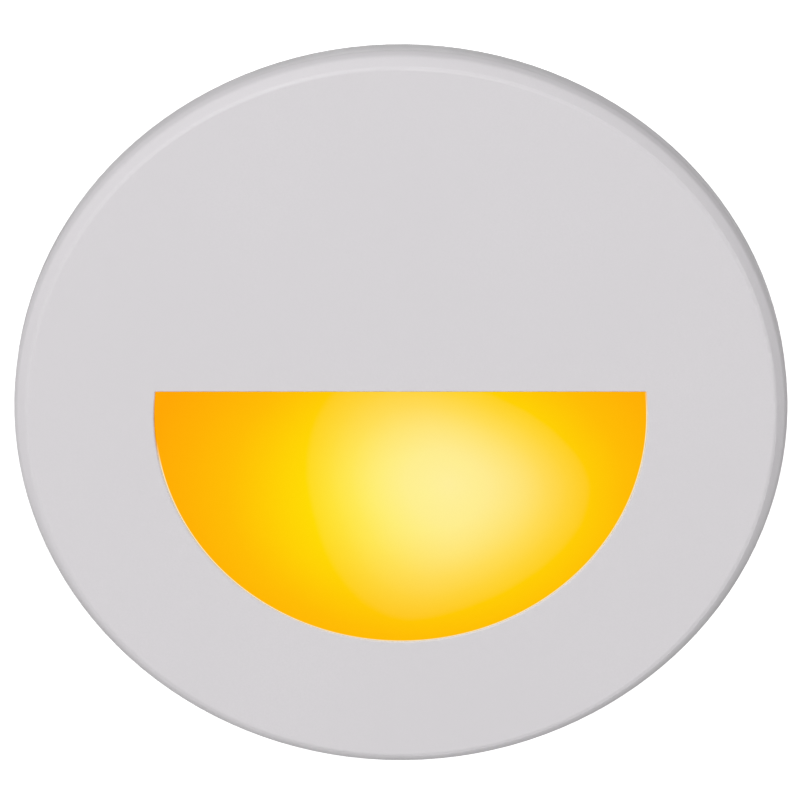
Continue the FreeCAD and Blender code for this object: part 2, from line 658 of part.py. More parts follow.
def lead(name, x):
    """A lead out of the connector, round one bend and back to the driver board."""
    level = value("board_front") - value("socket_height") / 2
    root = value("socket_top") - value("lead_seat")
    bend = value("lead_bend")
    top = value("wire_z")
    start = FreeCAD.Vector(x, level, root)
    bend_start = FreeCAD.Vector(x, level, top - bend)
    middle = FreeCAD.Vector(x, level + bend - bend * math.cos(math.pi / 4),
                            top - bend + bend * math.sin(math.pi / 4))
    bend_end = FreeCAD.Vector(x, level + bend, top)
    end = FreeCAD.Vector(x, value("driver_front"), top)
    path = Part.Wire([Part.makeLine(start, bend_start),
                      Part.Arc(bend_start, middle, bend_end).toShape(),
                      Part.makeLine(bend_end, end)])
    section = Part.Wire(Part.makeCircle(value("lead_radius"), start, FreeCAD.Vector(0, 0, 1)))
    piece = doc.addObject("Part::Feature", name)
    piece.Shape = path.makePipeShell([section], True, False)
    return piece


keep("led_leads", group("led_leads", lead("lead_left", -value("lead_pitch") / 2),
                        lead("lead_right", value("lead_pitch") / 2)))

# ---------------------------------------------------------------- driver board

driver_holes = [disc("driver_hole_%d" % i, "shank", "driver_front", "driver_rear", x, z)
                for i, (x, z) in enumerate(post_places)]
driver_holes += [disc("driver_notch_%d" % i, "boss_radius + boss_gap", "driver_front",
                      "driver_rear", x, z) for i, (x, z) in enumerate(boss_places)]
keep("driver_board", cut("driver_board",
                         disc("driver_disc", "driver_radius", "driver_front", "driver_rear"),
                         *driver_holes))
keep("driver_screws", group("driver_screws", *[
    screw("driver_screw_%d" % i, x, z, "driver_rear", "(driver_thick + post_height - 0.3)")
    for i, (x, z) in enumerate(post_places)]))

core_x = "-(driver_radius - core_inset)"
core_left = "%s - core_width / 2" % core_x
core_right = "%s + core_width / 2" % core_x
keep("transformer_core", cut("transformer_core",
                             block("core_block", core_left, core_right, "driver_rear",
                                   "driver_rear + core_height", "core_z - core_length / 2",
                                   "core_z + core_length / 2"),
                             block("core_window", core_left + " + core_leg", core_right + " - core_leg",
                                   "driver_rear + core_yoke", "driver_rear + core_height - core_yoke",
                                   "core_z - core_length / 2", "core_z + core_length / 2")))
keep("transformer_winding", block("transformer_winding", core_left + " + core_leg + 0.3",
                                  core_right + " - core_leg - 0.3", "driver_rear + core_yoke",
                                  "driver_rear + core_height - core_yoke - 0.2",
                                  "core_z - core_length / 2 - 1.4", "core_z + core_length / 2 + 1.4"))

can_x = "driver_radius - can_inset"
can_y = "driver_rear + can_radius"
keep("input_capacitor", fuse("input_capacitor",
                             rod("can", "can_radius", "-can_length * 0.6", "can_length * 0.25",
                                 can_x, can_y),
                             rod("can_neck", "can_radius - 0.3", "can_length * 0.25",
                                 "can_length * 0.3", can_x, can_y),
                             rod("can_rim", "can_radius", "can_length * 0.3", "can_length * 0.4",
                                 can_x, can_y)))
(cap_place, choke_place) = around("driver_radius - cap_inset", 319, 221)
keep("output_capacitor", fuse("output_capacitor",
                              disc("cap_rim", "cap_radius", "driver_rear", "driver_rear + 0.9",
                                   *cap_place),
                              disc("cap_neck", "cap_radius - 0.3", "driver_rear + 0.9",
                                   "driver_rear + 1.4", *cap_place),
                              disc("cap_can", "cap_radius", "driver_rear + 1.4",
                                   "driver_rear + cap_height", *cap_place)))
keep("choke", fuse("choke",
                   disc("choke_foot", "cap_radius", "driver_rear", "driver_rear + 1", *choke_place),
                   disc("choke_winding", "cap_radius - 0.5", "driver_rear + 1",
                        "driver_rear + cap_height - 1", *choke_place),
                   disc("choke_head", "cap_radius", "driver_rear + cap_height - 1",
                        "driver_rear + cap_height", *choke_place)))
keep("bridge_rectifier", block("bridge_rectifier", "chip_gap", "chip_gap + 4.7", "driver_rear",
                               "driver_rear + 2.4", "chip_z - 2.2", "chip_z + 2.2"))
keep("controller_chip", block("controller_chip", "-chip_gap", "1.5", "driver_rear",
                              "driver_rear + 1.6", "chip_z - 2", "chip_z + 2"))
keep("fuse", fuse("fuse_solid",
                  bar("fuse_body", "fuse_radius", "-fuse_half", "fuse_half",
                      "driver_rear + fuse_radius", "fuse_z"),
                  bar("fuse_cap_left", "fuse_radius", "-fuse_half - 1", "-fuse_half + 0.2",
                      "driver_rear + fuse_radius", "fuse_z"),
                  bar("fuse_cap_right", "fuse_radius", "fuse_half - 0.2", "fuse_half + 1",
                      "driver_rear + fuse_radius", "fuse_z")))

poles = [("left", "-pole_pitch"), ("middle", "0"), ("right", "pole_pitch")]
block_ways = []
pole_screws = []
for tag, x in poles:
    block_ways.append(rod("pole_way_" + tag, "pole_way", "block_z - block_width / 2",
                          "block_z + block_width / 2 - 1.5", x, "driver_rear + 2.6"))
    block_ways.append(disc("pole_well_" + tag, "pole_well", "driver_rear + 4.6",
                           "driver_rear + block_height", x, "block_z"))
    pole_head = disc("pole_head_" + tag, "pole_well - 0.1", "driver_rear + 4.6",
                     "driver_rear + 6.4", x, "block_z")
    pole_slot = block("pole_slot_" + tag, x + " - pole_well", x + " + pole_well",
                      "driver_rear + 5.8", "driver_rear + 6.4", "block_z - 0.25", "block_z + 0.25")
    pole_screws.append(cut("pole_screw_" + tag, pole_head, pole_slot))
keep("terminal_block", cut("terminal_block",
                           block("pole_block", "-1.5 * pole_pitch - 0.2", "1.5 * pole_pitch + 0.2",
                                 "driver_rear", "driver_rear + block_height",
                                 "block_z - block_width / 2", "block_z + block_width / 2"),
                           *block_ways))
keep("terminal_screws", group("terminal_screws", *pole_screws))

# ---------------------------------------------------------------- rear cover and cable gland

cover = turned("cover_turned",
               ("0", "cover_inside"), ("bore_radius", "cover_inside"),
               ("bore_radius", "cover_front"), ("body_radius", "cover_front"),
               ("body_radius", "cover_rear"), ("0", "cover_rear"))
rounded(cover, "cover_round", ("body_radius", "cover_rear"))
cover_pads = [disc("cover_pad_%d" % i, "boss_radius", "cover_front", "cover_inside + 0.5", x, z)
              for i, (x, z) in enumerate(boss_places)]
cover_holes = []
for i, (x, z) in enumerate(boss_places):
    cover_holes.append(disc("cover_way_%d" % i, "shank + 0.1", "cover_front", "cover_inside", x, z))
    cover_holes.append(disc("cover_sink_%d" % i, "head + head_room", "cover_inside", "cover_rear",
                            x, z))
cover_holes.append(disc("gland_way", "gland_thread + thread_gap", "cover_inside", "cover_rear",
                        0, "gland_z"))
keep("rear_cover", cut("rear_cover", fuse("cover_solid", cover, *cover_pads), *cover_holes))
keep("cover_seal", cut("cover_seal",
                       disc("seal_disc", "body_radius - 0.2", "body_rear", "cover_front"),
                       disc("seal_bore", "bore_radius + 0.2", "body_rear", "cover_front")))
keep("cover_screws", group("cover_screws", *[
    screw("cover_screw_%d" % i, x, z, "cover_inside", "8")
    for i, (x, z) in enumerate(boss_places)]))

keep("gland_washer", cut("gland_washer",
                         disc("washer_disc", "gland_corner * cos(30)", "cover_rear", "washer_rear",
                              0, "gland_z"),
                         disc("washer_bore", "gland_thread + thread_gap", "cover_rear",
                              "washer_rear", 0, "gland_z")))
gland_solid = fuse("gland_solid",
                   disc("gland_stem", "gland_thread", "cover_inside - locknut - 1", "washer_rear",
                        0, "gland_z"),
                   hexagon("gland_hexagon", "gland_corner", "washer_rear", "hex_rear", 0, "gland_z"),
                   disc("gland_neck_thread", "gland_thread", "hex_rear", "neck_rear", 0, "gland_z"))
keep("gland_body", cut("gland_body", gland_solid,
                       disc("gland_bore", "cable_radius + 0.6", "cover_inside - locknut - 1",
                            "hex_rear - 0.5", 0, "gland_z"),
                       disc("gland_cup", "sleeve_radius", "hex_rear - 0.5", "neck_rear", 0,
                            "gland_z")))
keep("gland_locknut", cut("gland_locknut",
                          hexagon("locknut_hexagon", "gland_corner", "cover_inside - locknut",
                                  "cover_inside", 0, "gland_z"),
                          disc("locknut_bore", "gland_thread", "cover_inside - locknut",
                               "cover_inside", 0, "gland_z")))
keep("gland_seal", cut("gland_seal",
                       disc("sleeve_disc", "sleeve_radius", "hex_rear - 0.5", "neck_rear + 1.2",
                            0, "gland_z"),
                       disc("sleeve_bore", "cable_radius", "hex_rear - 0.5", "neck_rear + 1.2",
                            0, "gland_z")))
nut_grip = hexagon("nut_grip", "gland_corner", "nut_front", "nut_rear", 0, "gland_z")
nut_dome = cone("nut_dome", "gland_corner + 4", "nut_mouth + 1.2", "nut_front", "nut_rear", 0,
                "gland_z")
nut_shape = doc.addObject("Part::MultiCommon", "nut_shape")
nut_shape.Shapes = [nut_grip, nut_dome]
keep("gland_nut", cut("gland_nut", nut_shape,
                      disc("nut_thread", "gland_thread", "nut_front", "neck_rear + 1.2", 0, "gland_z"),
                      disc("nut_hole", "nut_mouth", "neck_rear + 1.2", "nut_rear", 0, "gland_z")))

# ---------------------------------------------------------------- spring clips

pivot = FreeCAD.Vector(value("pivot_x"), value("pivot_y"), 0)
lean = FreeCAD.Rotation(FreeCAD.Vector(0, 0, 1), value("rest_angle") - 90)
clip_place = FreeCAD.Placement(pivot, lean)

# A clip is drawn with its pin on the Z axis and its length along X, then set at its free angle.
cheeks = []
for tag, z0, z1 in (("top", "clip_half - clip_sheet", "clip_half"),
                    ("bottom", "-clip_half", "-(clip_half - clip_sheet)")):
    cheeks.append(rod("cheek_eye_" + tag, "cheek_radius", z0, z1))
    cheeks.append(block("cheek_" + tag, 0, "clip_start + 3.5", "-cheek_radius * 0.6",
                        "cheek_radius * 0.6", z0, z1))
tongue = block("clip_tongue", "clip_start", "clip_length", "-clip_sheet / 2", "clip_sheet / 2",
               "-clip_half", "clip_half")
catch = block("clip_catch", "leg_clip", "leg_clip + stop_length * 0.8",
              "-(spring_coil + stop_half * 0.7)", "-clip_sheet / 2 + 0.1",
              "spring_half - stop_half", "spring_half + stop_half")
arm = cut("clip_arm_drawn", fuse("clip_solid", tongue, catch, *cheeks),
          rod("clip_eye", "small_shank + pin_gap", "-clip_half", "clip_half"))
sleeve_block = block("sleeve_block", "pad_start", "clip_length + pad_wall",
                     "-clip_sheet / 2 - pad_wall", "clip_sheet / 2 + pad_wall",
                     "-clip_half - pad_wall", "clip_half + pad_wall")
doc.recompute()
sleeve_round = doc.addObject("Part::Fillet", "sleeve_round")
sleeve_round.Base = sleeve_block
sleeve_round.Edges = [(index + 1, value("pad_round"), value("pad_round"))
                      for index, edge in enumerate(sleeve_block.Shape.Edges)
                      if edge.CenterOfMass.x > value("pad_start") + 1e-6]
sleeve = cut("clip_pad_drawn", sleeve_round,
             block("sleeve_slot", "pad_start", "clip_length", "-clip_sheet / 2", "clip_sheet / 2",
                   "-clip_half", "clip_half"))
for piece in (arm, sleeve):
    piece.Placement = clip_place
keep("clip_arm_right", arm)
keep("clip_pad_right", sleeve)
keep("clip_pin_right", rod("clip_pin_right", "small_shank", "-(ear_inner + ear_thick)",
                           "ear_inner + ear_thick", "pivot_x", "pivot_y"))


def two_arcs(p0, t0, p1, t1):
    """Two arcs that leave p0 along t0 and reach p1 along t1."""
    across = p1 - p0
    both = t0 + t1
    spread = 2 * (1 - t0.dot(t1))
    along = across.dot(both)
    reach = (-along + math.sqrt(along ** 2 + spread * across.dot(across))) / spread
    q0 = p0 + t0 * reach
    q1 = p1 - t1 * reach
    joint = (q0 + q1) * 0.5
    arcs = []
    for start, knee, end in ((p0, q0, joint), (joint, q1, p1)):
        chord = (start + end) * 0.5
        rise = knee - chord
        half_turn = math.atan2(rise.Length, (end - start).Length / 2)
        radius = (end - start).Length / 2 / math.sin(half_turn)
        crown = chord + rise.normalize() * (radius * (1 - math.cos(half_turn)))
        arcs.append(Part.Arc(start, crown, end))
    return arcs


def torsion_spring(name):
    """A spring round the pin: a leg along the body, open turns, and a leg along the clip."""
    coil = value("spring_coil")
    half = value("spring_half")
    sweep = 2 * math.pi * value("spring_turns") + math.radians(value("rest_angle"))
    steps = 2 * int(value("spring_turns")) + 1

    def at(part):
        angle = math.pi + sweep * part
        return pivot + FreeCAD.Vector(coil * math.cos(angle), coil * math.sin(angle),
                                      -half + 2 * half * part)

    def heading(part):
        angle = math.pi + sweep * part
        rise = 0 if part in (0.0, 1.0) else 2 * half
        return FreeCAD.Vector(-coil * sweep * math.sin(angle), coil * sweep * math.cos(angle),
                              rise).normalize()

    foot = at(0.0) - heading(0.0) * value("leg_body")
    tip = at(1.0) + heading(1.0) * value("leg_clip")
    curves = [Part.LineSegment(foot, at(0.0))]
    for step in range(steps):
        curves += two_arcs(at(step / steps), heading(step / steps),
                           at((step + 1) / steps), heading((step + 1) / steps))
    curves.append(Part.LineSegment(at(1.0), tip))
    path = Part.Wire([curve.toShape() for curve in curves])
    section = Part.Wire(Part.makeCircle(value("spring_wire"), foot, heading(0.0)))
    piece = doc.addObject("Part::Feature", name)
    piece.Shape = path.makePipeShell([section], True, False)

    points = []
    for curve in curves:
        edge = curve.toShape()
        count = max(2, int(edge.Length / 0.15))
        points += [edge.valueAt(edge.FirstParameter + (edge.LastParameter - edge.FirstParameter)
                                * i / count) for i in range(count)]
    apart = int(1.5 * math.pi * coil / 0.15)
    least = min((a - b).Length for i, a in enumerate(points) for b in points[i + apart:])
    print("least gap of the spring to itself: %.2f mm" % (least - 2 * value("spring_wire")))
    return piece


keep("clip_spring_right", torsion_spring("clip_spring_right"))
for part in ("arm", "pad", "pin", "spring"):
    keep("clip_%s_left" % part, mirrored("clip_%s_left" % part, nodes["clip_%s_right" % part]))

# ---------------------------------------------------------------- check and write

doc.recompute()
faults = [o.Name for o in doc.Objects if "Invalid" in o.State or "Error" in o.State]
os.makedirs("parts", exist_ok=True)
for name, piece in sorted(nodes.items()):
    shape = piece.Shape
    if shape.isNull() or not shape.isValid() or not shape.Solids:
        faults.append(name)
        continue
    shape.exportStep("parts/%s.step" % name)
if faults:
    raise RuntimeError("faulty: " + ", ".join(faults))
print("%d nodes" % len(nodes))
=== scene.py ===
"""Recessed step light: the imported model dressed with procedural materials, lit softly from the front.

Lengths are in metres, as in the frame, unless a name or a comment says millimetres.
"""

import json
import math

import bpy
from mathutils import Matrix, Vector


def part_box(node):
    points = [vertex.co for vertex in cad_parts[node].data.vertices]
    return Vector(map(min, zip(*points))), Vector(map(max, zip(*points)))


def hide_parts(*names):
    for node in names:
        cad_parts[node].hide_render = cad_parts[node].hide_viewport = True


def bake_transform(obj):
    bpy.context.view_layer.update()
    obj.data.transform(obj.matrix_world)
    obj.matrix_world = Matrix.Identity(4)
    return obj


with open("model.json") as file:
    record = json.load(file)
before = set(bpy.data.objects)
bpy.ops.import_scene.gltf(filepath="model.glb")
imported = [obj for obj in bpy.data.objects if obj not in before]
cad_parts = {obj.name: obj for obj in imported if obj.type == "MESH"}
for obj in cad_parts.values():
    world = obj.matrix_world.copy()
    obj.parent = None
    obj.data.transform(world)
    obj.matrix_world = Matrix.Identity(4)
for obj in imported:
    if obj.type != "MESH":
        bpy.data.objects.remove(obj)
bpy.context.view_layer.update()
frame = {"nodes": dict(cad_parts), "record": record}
nodes = frame["nodes"]

MM = 0.001

# ------------------------------------------------------------------ camera

CAMERA_ELEVATION = math.radians(23.44)  # above the light's axis
CAMERA_DISTANCE = 0.788
CAMERA_TARGET = Vector((-0.000095, 0.0, 0.000425))
FOCAL_LENGTH, SENSOR_WIDTH = 342.0, 36.0  # the camera's own millimetres
NEAR_CLIP, FAR_CLIP = 0.01, 50.0

camera_data = bpy.data.cameras.new("camera")
camera_data.lens = FOCAL_LENGTH
camera_data.sensor_width = SENSOR_WIDTH
camera_data.clip_start = NEAR_CLIP
camera_data.clip_end = FAR_CLIP
camera = bpy.data.objects.new("camera", camera_data)
towards_camera = Vector((0, -math.cos(CAMERA_ELEVATION), math.sin(CAMERA_ELEVATION)))
camera.location = CAMERA_TARGET + CAMERA_DISTANCE * towards_camera
camera.rotation_euler = (math.pi / 2 - CAMERA_ELEVATION, 0, 0)
bpy.context.scene.collection.objects.link(camera)
bpy.context.scene.camera = camera

# ------------------------------------------------------------------ colours


def linear(red, green, blue):
    """A colour given as 0 to 255 on screen, as linear light."""
    def one(level):
        level /= 255
        return level / 12.92 if level <= 0.04045 else ((level + 0.055) / 1.055) ** 2.4
    return (one(red), one(green), one(blue), 1.0)


def scaled(colour, by):
    return tuple(min(channel * by, 1.0) for channel in colour[:3]) + (1.0,)


def raised(colour, by):
    return tuple(min(channel + by, 1.0) for channel in colour[:3]) + (1.0,)


# ------------------------------------------------------------------ what a material is made of


class Surface:
    """A material whose patterns are made from the place on the object.

    A pattern runs from 0 to 1, and the scale of a noise or of cells is about how many of its
    spots lie on a metre.
    """

    def __init__(self, name, **constants):
        self.material = bpy.data.materials.new(name)
        self.material.use_nodes = True
        self.tree = self.material.node_tree
        self.shader = self.tree.nodes["Principled BSDF"]
        self.place = self.tree.nodes.new("ShaderNodeTexCoord").outputs["Object"]
        for socket, value in constants.items():
            self.shader.inputs[socket.replace("_", " ")].default_value = value

    def put(self, source, target):
        """Joins an output to an input, or sets the input to a constant."""
        if isinstance(source, bpy.types.NodeSocket):
            self.tree.links.new(source, target)
        else:
            target.default_value = source

    # Arithmetic

    def math(self, operation, first, second=0.0):
        node = self.tree.nodes.new("ShaderNodeMath")
        node.operation = operation
        self.put(first, node.inputs[0])
        self.put(second, node.inputs[1])
        return node.outputs[0]

    def plus(self, first, second):
        return self.math("ADD", first, second)

    def minus(self, first, second):
        return self.math("SUBTRACT", first, second)

    def times(self, first, second):
        return self.math("MULTIPLY", first, second)

    def over(self, first, second):
        return self.math("DIVIDE", first, second)

    def larger(self, first, second):
        return self.math("MAXIMUM", first, second)

    def power(self, source, exponent):
        return self.math("POWER", source, exponent)

    def span(self, source, low, high, first=0.0, last=1.0):
        """Runs from first to last as source runs from low to high, and stays level beyond them."""
        node = self.tree.nodes.new("ShaderNodeMapRange")
        self.put(source, node.inputs["Value"])
        for socket, value in (("From Min", low), ("From Max", high),
                              ("To Min", first), ("To Max", last)):
            node.inputs[socket].default_value = value
        return node.outputs[0]

    # Places and directions

    def axes(self, vector):
        node = self.tree.nodes.new("ShaderNodeSeparateXYZ")
        self.put(vector, node.inputs[0])
        return node.outputs

    def millimetres(self):
        """x, y and z on the object. The wall is at y = 0, and the front has a negative y."""
        return [self.over(axis, MM) for axis in self.axes(self.place)]

    def radius(self):
        """Distance from the light's axis, in millimetres."""
        x, _, z = self.millimetres()
        return self.math("SQRT", self.plus(self.times(x, x), self.times(z, z)))

    def normal(self):
        return self.tree.nodes.new("ShaderNodeNewGeometry").outputs["Normal"]

    def stretched(self, x, y, z):
        """The place with each axis scaled, which draws a pattern out along an axis under 1."""
        node = self.tree.nodes.new("ShaderNodeMapping")
        node.inputs["Scale"].default_value = (x, y, z)
        self.put(self.place, node.inputs["Vector"])
        return node.outputs[0]

    # Patterns

    def noise(self, scale, detail=3.0, roughness=0.55, at=None):
        node = self.tree.nodes.new("ShaderNodeTexNoise")
        node.inputs["Scale"].default_value = scale
        node.inputs["Detail"].default_value = detail
        node.inputs["Roughness"].default_value = roughness
        self.put(at or self.place, node.inputs["Vector"])
        return node.outputs["Fac"]

    def cells(self, scale, feature="F1"):
        node = self.tree.nodes.new("ShaderNodeTexVoronoi")
        node.feature = feature
        node.inputs["Scale"].default_value = scale
        self.put(self.place, node.inputs["Vector"])
        return node.outputs["Distance"]

    def bands(self, scale, distortion=0.0):
        """Stripes that follow each other along x, about 3.2 times the scale on a metre."""
        node = self.tree.nodes.new("ShaderNodeTexWave")
        node.bands_direction = "X"
        node.inputs["Scale"].default_value = scale
        node.inputs["Distortion"].default_value = distortion
        self.put(self.place, node.inputs["Vector"])
        return node.outputs["Fac"]

    def edges(self, reach=0.5 * MM):
        """1 on edges and 0 on flat ground, from how the surface turns within the reach."""
        rounded = self.tree.nodes.new("ShaderNodeBevel")
        rounded.samples = 6
        rounded.inputs["Radius"].default_value = reach
        turn = self.tree.nodes.new("ShaderNodeVectorMath")
        turn.operation = "DOT_PRODUCT"
        self.put(rounded.outputs["Normal"], turn.inputs[0])
        self.put(self.normal(), turn.inputs[1])
        return self.span(turn.outputs["Value"], 0.99, 0.90)

    # Colours

    def ramp(self, source, stops):
        """A colour that runs through the stops, each a position and a colour, as source rises."""
        node = self.tree.nodes.new("ShaderNodeValToRGB")
        elements = node.color_ramp.elements
        while len(elements) < len(stops):
            elements.new(0.5)
        for element, (where, colour) in zip(elements, stops):
            element.position = where
            element.color = colour
        self.put(source, node.inputs["Fac"])
        return node.outputs["Color"]

    def mixed(self, factor, first, second, how="MIX"):
        node = self.tree.nodes.new("ShaderNodeMix")
        node.data_type = "RGBA"
        node.blend_type = how
        self.put(factor, node.inputs["Factor"])
        self.put(first, node.inputs["A"])
        self.put(second, node.inputs["B"])
        return node.outputs["Result"]

    def drifting(self, colour, dark, light, scale):
        """The colour with slow changes of tone, from its dark share to its light share."""
        return self.mixed(self.span(self.noise(scale), 0.3, 0.7), scaled(colour, dark),
                          scaled(colour, light))

    # What the shader takes

    def colour(self, source):
        self.put(source, self.shader.inputs["Base Color"])

    def glow(self, colour, strength):
        self.put(colour, self.shader.inputs["Emission Color"])
        self.shader.inputs["Emission Strength"].default_value = strength

    def roughness(self, pattern, low, high):
        self.put(self.span(pattern, 0.3, 0.7, low, high), self.shader.inputs["Roughness"])

    def relief(self, *layers):
        """Bumps from (pattern, height in millimetres) layers, one on another."""
        last = None
        for pattern, height in layers:
            node = self.tree.nodes.new("ShaderNodeBump")
            node.inputs["Strength"].default_value = 1.0
            node.inputs["Distance"].default_value = height * MM
            self.put(pattern, node.inputs["Height"])
            if last is not None:
                self.put(last, node.inputs["Normal"])
            last = node.outputs["Normal"]
        self.put(last, self.shader.inputs["Normal"])


# ------------------------------------------------------------------ the painted plate

plate_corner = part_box("face_plate")[1]
PLATE_RADIUS, PLATE_REAR = plate_corner.x / MM, plate_corner.y / MM  # millimetres


def painted_rim_shading(s):
    """Painted shade and light round the rim, as what the plate's colour is multiplied by at each place;
    1 on its face.

    Right and up are shares of the plate's radius. Inward, from the plate's edge, and forward,
    from its rear, are in millimetres.
    """
    x, y, z = s.millimetres()
    right, up = s.over(x, PLATE_RADIUS), s.over(z, PLATE_RADIUS)
    inward, forward = s.minus(PLATE_RADIUS, s.radius()), s.minus(PLATE_REAR, y)

    # Painted shade: the side darkens towards the wall, and again in the seam with the gasket.
    painted_shade_to_wall = s.span(forward, 2.2, 0.2, 1.0, 0.86)
    painted_seam_shade = s.span(forward, 0.20, 0.02, 1.0, 0.86)

    # Painted light and shade: the slope is a little paler than the face, and its outer part has painted
    # shade along the bottom.
    painted_bottom_shade = s.times(s.span(up, -0.15, -0.55), s.span(inward, 1.05, 0.25, 0.05, -0.28))
    painted_slope_light_and_shade = s.plus(s.span(inward, 1.2, 0.1, 0.045, 0.03), painted_bottom_shade)
    painted_slope_light_and_shade = s.times(s.span(inward, 1.28, 1.18), painted_slope_light_and_shade)

    # Painted shade and light: the side is darker still at the top and at the left, and paler at the
    # upper right.
    painted_side_shade = s.larger(s.span(up, 0.8875, 0.95), s.span(right, -0.8125, -0.8625, 0.0, 0.8))
    light = s.span(s.times(right, up), 0.4125, 0.49375)
    side = s.times(s.minus(light, painted_side_shade), s.span(forward, 1.9, 0.8, 0.0, 0.19))

    return s.times(s.times(painted_shade_to_wall, painted_seam_shade), s.plus(s.plus(painted_slope_light_and_shade, side), 1.0))


def painted(name, colour):
    """Sprayed satin paint: a fine orange peel, with painted shade and painted light round the rim."""
    s = Surface(name, Specular_IOR_Level=0.35)
    clouds = s.mixed(s.span(s.noise(28.0, 2.0), 0.35, 0.65), scaled(colour, 0.985),
                     scaled(colour, 1.012))
    grain = s.span(s.noise(5200.0, 1.0), 0.30, 0.72)
    paint = s.mixed(grain, scaled(colour, 0.985), clouds)
    # The paint's colour is multiplied by the rim's painted shade and painted light.
    s.colour(s.mixed(1.0, paint, painted_rim_shading(s), "MULTIPLY"))
    s.roughness(s.noise(260.0, 2.0), 0.44, 0.52)
    s.relief((s.noise(1900.0, 2.0, 0.45), 0.012), (s.noise(420.0, 1.0), 0.010))
    return s.material


# ------------------------------------------------------------------ the lit lens

LENS_FACE = 25.36  # radius of the lens's flat front, inside its chamfer, in millimetres
PAINTED_EDGE_HIGHLIGHT = linear(255, 240, 198)  # a painted highlight on that chamfer, where the window's edge catches the glow
OWN_LIGHT = 0.8  # share of the lens's brightness that it gives itself

# The amber and the pale light fade from the hot spot at their own rates. Each stop is a distance,
# where 0.5 is the whole reach, and the level on screen of the colour channel that fades.
AMBER_GREEN = ((0.0, 241), (0.15, 238), (0.25, 230), (0.36, 217), (0.43, 209), (0.50, 199),
               (0.57, 189), (0.68, 179), (0.82, 168))
PALE_BLUE = ((0.0, 156), (0.2, 143), (0.28, 130), (0.36, 114), (0.46, 86), (0.51, 74),
             (0.565, 57), (0.612, 45), (0.65, 34), (0.675, 0))


def glowing_lens(name):
    """Opal lens lit from behind: a pale hot spot low and right of centre, amber at the ends."""
    s = Surface(name, Specular_IOR_Level=0.03)
    x, _, z = s.millimetres()
    uneven = s.span(s.noise(140.0, 2.0), 0.0, 1.0, -0.025, 0.025)

    def distance(middle_x, middle_z, reach_x, reach_up, reach_down, power=2.0):
        """From the middle of an oval in millimetres, which a power under 2 makes less round."""
        across = s.math("ABSOLUTE", s.over(s.minus(x, middle_x), reach_x))
        above = s.minus(z, middle_z)
        up = s.larger(s.over(above, reach_up), s.over(above, -reach_down))
        length = s.power(s.plus(s.power(across, power), s.power(up, power)), 1.0 / power)
        return s.over(s.plus(length, uneven), 2.0)

    amber = s.ramp(distance(2.6, -8.4, reach_x=18.1, reach_up=14.5, reach_down=14.5),
                   [(at, linear(255, green, 0)) for at, green in AMBER_GREEN])
    # The pale light's middle bends to the left above and below its place at z = -10.
    off = s.plus(z, 10.0)
    middle_x = s.plus(s.times(s.times(off, off), -0.0235), 5.05)
    pale = s.ramp(distance(middle_x, -7.4, reach_x=10.95, reach_up=9.7, reach_down=11.6, power=1.8),
                  [(at, linear(0, 0, blue)) for at, blue in PALE_BLUE])
    light = s.mixed(1.0, amber, pale, "ADD")

    # A painted highlight: a pale line round the lens's chamfer, fading out at the arc's ends.
    painted_highlight_brim = s.span(s.radius(), LENS_FACE - 0.05, LENS_FACE)
    below_top = s.span(s.minus(s.times(x, 0.12), z), -0.5, 2.5)  # fades out at the arc's ends
    light = s.mixed(s.times(painted_highlight_brim, below_top), light, PAINTED_EDGE_HIGHLIGHT)

    # Painted light: the glow's hot spot and amber also go into the lens's base colour, at the share the
    # lens doesn't give itself.
    s.colour(s.mixed(1.0, light, scaled((1, 1, 1), 1 - OWN_LIGHT), "MULTIPLY"))
    s.glow(light, OWN_LIGHT)
    s.roughness(s.noise(900.0), 0.36, 0.46)
    s.relief((s.noise(2400.0, 2.0), 0.006))
    return s.material


# ------------------------------------------------------------------ the other finishes


def rubber(name, colour, bloom=0.0):
    """Moulded rubber: matt and finely grained, with a trace of pale bloom where it is black."""
    s = Surface(name, Specular_IOR_Level=0.3)
    s.colour(colour)
    if bloom:
        s.colour(s.mixed(s.span(s.noise(90.0, 4.0), 0.45, 0.75), colour, raised(colour, bloom)))
    s.roughness(s.noise(700.0), 0.68, 0.86)
    s.relief((s.noise(3600.0, 2.0), 0.02), (s.cells(1500.0), 0.01))
    return s.material


def moulded(name, colour, rough, grain=0.014):
    """Injection-moulded plastic with a fine spark-eroded grain, its height in millimetres."""
    s = Surface(name, Specular_IOR_Level=0.45)
    s.colour(s.drifting(colour, 0.95, 1.06, 60.0))
    s.roughness(s.noise(900.0), rough - 0.05, rough + 0.09)
    s.relief((s.cells(2600.0), grain), (s.noise(4200.0, 2.0), grain * 0.6))
    return s.material


def cast(name, colour):
    """Cast and shot-blasted: grainy, with slow flow marks and paler edges."""
    s = Surface(name, Metallic=0.75)
    flow = s.span(s.noise(55.0, 4.0, 0.6, at=s.stretched(1, 0.35, 1)), 0.35, 0.65)
    grain = s.span(s.noise(3800.0, 3.0, 0.7), 0.3, 0.7)
    ground = s.mixed(grain, scaled(colour, 0.88),
                     s.mixed(flow, scaled(colour, 0.86), scaled(colour, 1.06)))
    s.colour(s.mixed(s.edges(), ground, scaled(colour, 1.25)))
    s.roughness(s.noise(1300.0), 0.46, 0.62)
    s.relief((s.noise(2600.0, 3.0, 0.65), 0.030), (s.cells(1100.0), 0.012))
    return s.material


